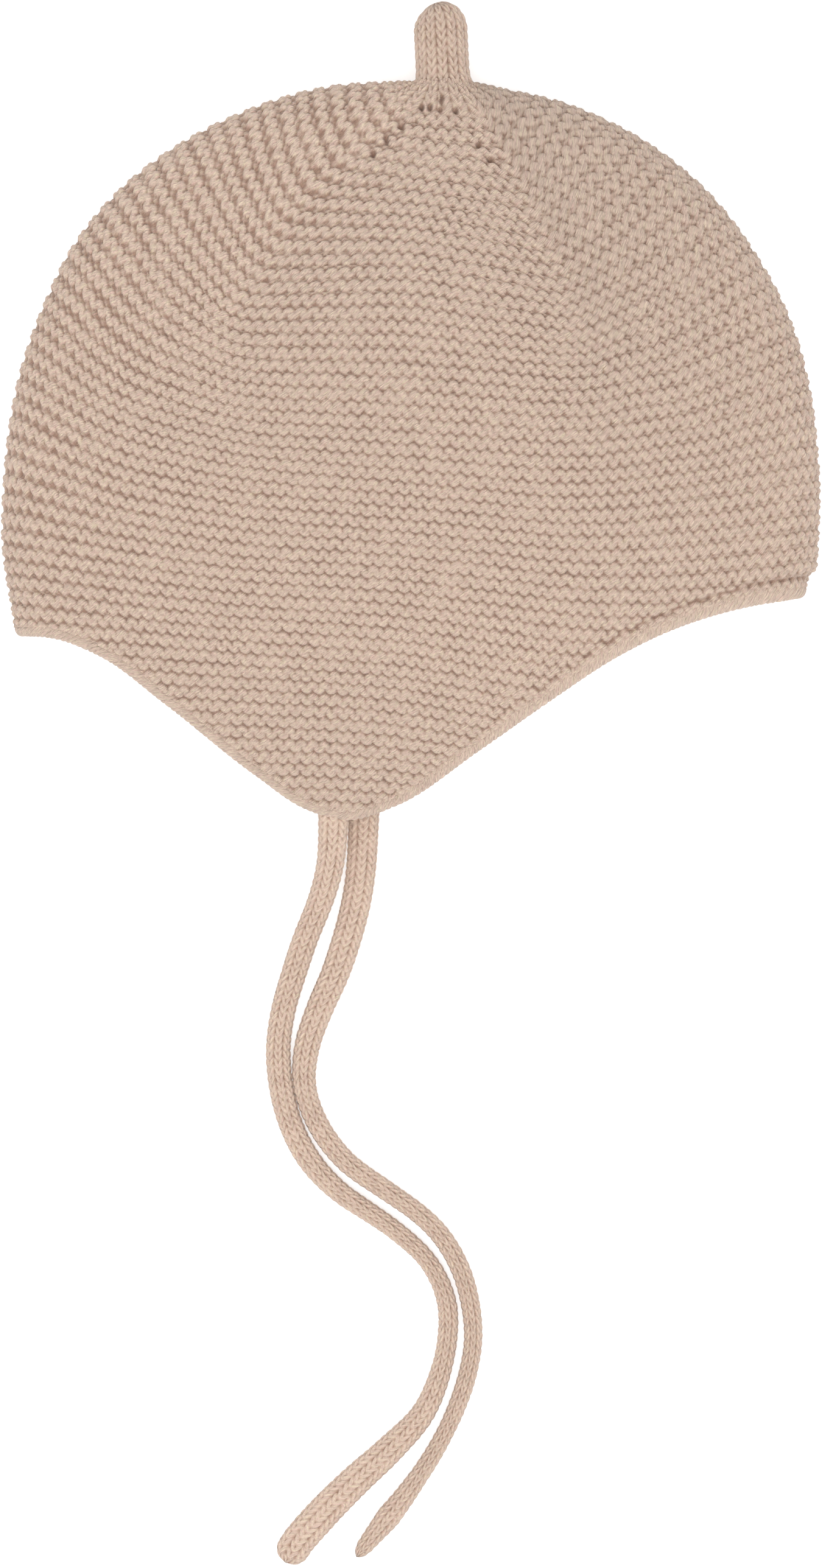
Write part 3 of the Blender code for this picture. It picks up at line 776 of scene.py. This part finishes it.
def nub(tile, material):
    """The stalk on the crown: a closed cord whose foot widens into the fabric."""
    low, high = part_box("crown_nub")
    middle_x = (low[0] + high[0] - NUB_LEAN) / 2
    middle_z = (low[2] + high[2]) / 2
    top = high[1]
    along = np.linspace(-NUB_SINK, top - low[1], NUB_FINE_POINTS)
    centres = np.column_stack([middle_x + NUB_LEAN * along / NUB_LENGTH, low[1] + along,
                               np.full(len(along), middle_z)])
    foot = np.clip(1 - (along + NUB_SINK) / NUB_FOOT_LENGTH, 0, 1) ** 2
    end = np.clip((top - low[1] - along) / NUB_RADIUS, 0, 1)
    centres[:, 0] += NUB_TIP_SHIFT * (1 - end) ** 2
    closing = np.sqrt(np.maximum(1 - (1 - end) ** 2, END_KEPT))
    half = NUB_RADIUS * closing + NUB_FOOT_SPREAD * foot
    half_height = half - NUB_FOOT_SPREAD * foot * NUB_FOOT_FLATNESS
    centres = centres[::-1]
    return knitted_tube("crown_nub_knit", centres, np.array([0.0, 0.0, 1.0]), half[::-1],
                        half_height[::-1], NUB_COLUMNS, NUB_ROW, tile, material,
                        "crown_nub")


def hem_roll(ridges, lines, material):
    """The rolled edge round both layers, with slanting strokes across it."""
    shares, on_top = ring_shares(HEM_UPPER_RINGS, HEM_UNDER_RINGS)
    grid, normals = ring_grid(lines, shares, on_top)
    middle = ridges_at_hem(ridges, grid, on_top, hem_half_widths(hem_line(0.0)[:, 0]))
    outer = at_ridges(ridges, grid, middle)
    outward = unit(at_ridges(ridges, normals, middle))
    half = hem_half_widths(outer[:, 0])
    centres = outer - outward * half[:, None]
    around = unit(np.roll(outer, -1, axis=0) - np.roll(outer, 1, axis=0))
    outward = unit(outward - around * np.sum(outward * around, axis=1)[:, None])
    sideways = np.cross(around, outward)
    steps = np.linalg.norm(np.roll(outer, -1, axis=0) - outer, axis=1)
    places = np.concatenate([[0.0], np.cumsum(steps)[:-1]])
    strokes = round(steps.sum() / HEM_STROKE)
    along = places / steps.sum() * strokes
    angles = np.arange(HEM_SIDES) * 2 * math.pi / HEM_SIDES
    phase = along[:, None] + HEM_SLANT * np.cos(angles)[None, :]
    stroke = np.broadcast_to(along[:, None], phase.shape)
    phase = phase + HEM_WANDER * soft_noise(stroke, phase, HEM_WANDER_NOISE)
    height = -HEM_STROKE_DEPTH * (1 - np.abs(np.sin(phase * math.pi))) ** HEM_STROKE_SHARPNESS
    fullness = soft_noise(phase, phase, HEM_FULLNESS_NOISE, 0, HEM_FULLNESS_SHIFT)
    height = height * (1 + HEM_FULLNESS_RANGE * fullness)
    # The yarn's third part is the strokes' depth, which the material turns into painted shade
    yarn = np.stack([np.broadcast_to(np.cos(angles) * HEM_STREAK_REACH, phase.shape),
                     phase * HEM_STROKE * YARN_UNITS,
                     np.clip(-height / HEM_STROKE_DEPTH, 0, 1) * HEM_SHADE_SHARE], axis=-1)
    return tube_piece("hem_roll_knit", centres, sideways, outward, half, half, height, yarn,
                      material, "hem_roll", True)


def set_inputs(node, values):
    """Sets a shader node's inputs, given by name."""
    for name, value in values.items():
        node.inputs[name].default_value = value


def add_node(tree, kind, place, inputs=None, **settings):
    """A shader node at a place in its tree, with the given inputs and settings."""
    node = tree.nodes.new(kind)
    node.location = place
    for name, value in settings.items():
        setattr(node, name, value)
    set_inputs(node, inputs or {})
    return node


def wool_material(name, stroke_range=STROKES, fibre_depth=FIBRE_DEPTH):
    """Heathered wool: streaks of three tones along the yarn, painted shade in the holes, fibres
    and a nap.
    """
    material = bpy.data.materials.new(name)
    material.use_nodes = True
    tree = material.node_tree
    link = tree.links.new
    shader = tree.nodes["Principled BSDF"]
    set_inputs(shader, WOOL_FINISH)
    yarn = add_node(tree, "ShaderNodeAttribute", (-1500, 0), attribute_name="yarn")
    parts = add_node(tree, "ShaderNodeSeparateXYZ", (-1300, -200))
    link(yarn.outputs["Vector"], parts.inputs["Vector"])

    streaks = add_node(tree, "ShaderNodeMapping", (-1250, 300), {"Scale": (0.6, 2.4, 0.0)})
    link(yarn.outputs["Vector"], streaks.inputs["Vector"])
    heather = add_node(tree, "ShaderNodeTexNoise", (-1000, 300),
                       {"Scale": 1.0, "Detail": 4.0, "Roughness": 0.65})
    link(streaks.outputs["Vector"], heather.inputs["Vector"])
    tones = add_node(tree, "ShaderNodeValToRGB", (-780, 300))
    ramp = tones.color_ramp.elements
    ramp.new(WOOL_TONES[1][0])
    for stop, (place, colour) in zip(ramp, WOOL_TONES):
        stop.position = place
        stop.color = (*colour, 1.0)
    link(heather.outputs["Fac"], tones.inputs["Fac"])

    # Painted shade: the deeper a hole, crease or gap, the further its wool is mixed towards the
    # dark brown
    hole_shade = add_node(tree, "ShaderNodeMapRange", (-780, 0),
                      {"From Min": 0.35, "From Max": 1.0, "To Max": 0.70})
    link(parts.outputs["Z"], hole_shade.inputs["Value"])
    shaded = add_node(tree, "ShaderNodeMix", (-450, 200), data_type="RGBA")
    link(hole_shade.outputs["Result"], shaded.inputs["Factor"])
    link(tones.outputs["Color"], shaded.inputs[6])
    shaded.inputs[7].default_value = (*PAINTED_HOLE_SHADE, 1.0)

    plies = add_node(tree, "ShaderNodeMapping", (-1250, -450), {"Scale": (1.0, 3.4, 0.0)})
    link(yarn.outputs["Vector"], plies.inputs["Vector"])
    fibres = add_node(tree, "ShaderNodeTexNoise", (-1000, -450),
                      {"Scale": 1.0, "Detail": 2.0, "Roughness": 0.6, "Distortion": 0.4})
    link(plies.outputs["Vector"], fibres.inputs["Vector"])
    # Lighter where the fibres' bump stands up: the fibres' own tone and a painted highlight
    strokes = add_node(tree, "ShaderNodeMapRange", (-780, -250),
                       {"From Min": 0.3, "From Max": 0.7, "To Min": stroke_range[0],
                        "To Max": stroke_range[1]})
    link(fibres.outputs["Fac"], strokes.inputs["Value"])
    stroked = add_node(tree, "ShaderNodeVectorMath", (-250, 200), operation="SCALE")
    link(shaded.outputs[2], stroked.inputs[0])
    link(strokes.outputs["Result"], stroked.inputs["Scale"])
    link(stroked.outputs["Vector"], shader.inputs["Base Color"])
    bump = add_node(tree, "ShaderNodeBump", (-450, -350),
                    {"Strength": 1.0, "Distance": fibre_depth})
    link(fibres.outputs["Fac"], bump.inputs["Height"])
    link(bump.outputs["Normal"], shader.inputs["Normal"])
    return material


def add_stage():
    """A pale floor under the bonnet, even light from all round and one large soft lamp."""
    mesh = bpy.data.meshes.new("floor")
    half = FLOOR_SIZE / 2
    mesh.from_pydata([(-half, -half, 0), (half, -half, 0), (half, half, 0), (-half, half, 0)], [],
                     [(0, 1, 2, 3)])
    material = bpy.data.materials.new("floor_paper")
    material.use_nodes = True
    set_inputs(material.node_tree.nodes["Principled BSDF"], {
        "Base Color": (*FLOOR_COLOUR, 1.0), "Emission Color": (1.0, 1.0, 1.0, 1.0),
        "Emission Strength": FLOOR_GLOW, "Roughness": FLOOR_ROUGHNESS,
        "Specular IOR Level": FLOOR_SHINE})
    mesh.materials.append(material)
    floor = bpy.data.objects.new("floor", mesh)
    bpy.context.scene.collection.objects.link(floor)

    world = bpy.data.worlds.new("studio")
    bpy.context.scene.world = world
    world.use_nodes = True
    set_inputs(world.node_tree.nodes["Background"],
               {"Color": (*SKY_COLOUR, 1.0), "Strength": SKY_STRENGTH})

    light = bpy.data.lights.new("softbox", "AREA")
    light.size = LAMP_SIZE
    light.energy = LAMP_POWER
    lamp = bpy.data.objects.new("softbox", light)
    bpy.context.scene.collection.objects.link(lamp)
    lamp.location = LAMP_PLACE
    towards = Vector(LAMP_TARGET) - Vector(LAMP_PLACE)
    lamp.rotation_euler = towards.to_track_quat("-Z", "Y").to_euler()


def add_camera():
    """The photograph's camera, which looks straight down."""
    camera = bpy.data.cameras.new("camera")
    camera.lens = CAMERA_LENS
    camera.sensor_width = CAMERA_SENSOR
    item = bpy.data.objects.new("camera", camera)
    bpy.context.scene.collection.objects.link(item)
    distance = PHOTO_HEIGHT / 2 / (CAMERA_SENSOR / 2 / CAMERA_LENS)
    item.location = (*PHOTO_CENTRE, FOCUS_HEIGHT + distance)
    camera.clip_start, camera.clip_end = CAMERA_CLIP
    bpy.context.scene.camera = item


def dress_bonnet():
    """Camera, light and floor, and each piece of the bonnet in its wool."""
    add_camera()
    add_stage()
    bpy.context.scene.view_settings.view_transform = "Standard"
    garter = garter_tile()
    smooth = smooth_tile()
    # The ties' wool is made lighter than the same wool elsewhere: painted light
    cord_wool = wool_material("cord_wool", CORD_STROKES_PAINTED_LIGHTER, CORD_FIBRE_DEPTH)
    tie_tile = smooth * TIE_RELIEF
    tie("tie_upper", TIE_UPPER_ROUTE, TIE_UPPER_WIDTHS, TIE_UPPER_HEIGHT, tie_tile, cord_wool)
    tie("tie_lower", TIE_LOWER_ROUTE, TIE_LOWER_WIDTHS, TIE_RADIUS, tie_tile, cord_wool)
    ridges, lines = all_rounds()
    lines_by_ridge = dict(zip(ridges.tolist(), lines))
    garter_wool = wool_material("garter_wool")
    for start, end in zip(BANDS[:-1], BANDS[1:]):
        name = f"garter_{start - FIRST_RIDGE}_{end - FIRST_RIDGE}"
        garter_band(name, start, end, ridges, lines, lines_by_ridge, garter, smooth, garter_wool)
    hem_roll(ridges, lines, wool_material("edge_wool"))
    nub(smooth * NUB_RELIEF, wool_material("nub_wool", NUB_STROKES, CORD_FIBRE_DEPTH))


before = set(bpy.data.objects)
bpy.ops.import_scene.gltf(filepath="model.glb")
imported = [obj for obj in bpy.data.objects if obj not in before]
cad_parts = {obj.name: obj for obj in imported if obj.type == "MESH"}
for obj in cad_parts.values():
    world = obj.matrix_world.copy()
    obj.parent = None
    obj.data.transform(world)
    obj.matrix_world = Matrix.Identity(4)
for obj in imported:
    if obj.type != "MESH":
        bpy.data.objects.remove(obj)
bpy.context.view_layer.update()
dress_bonnet()
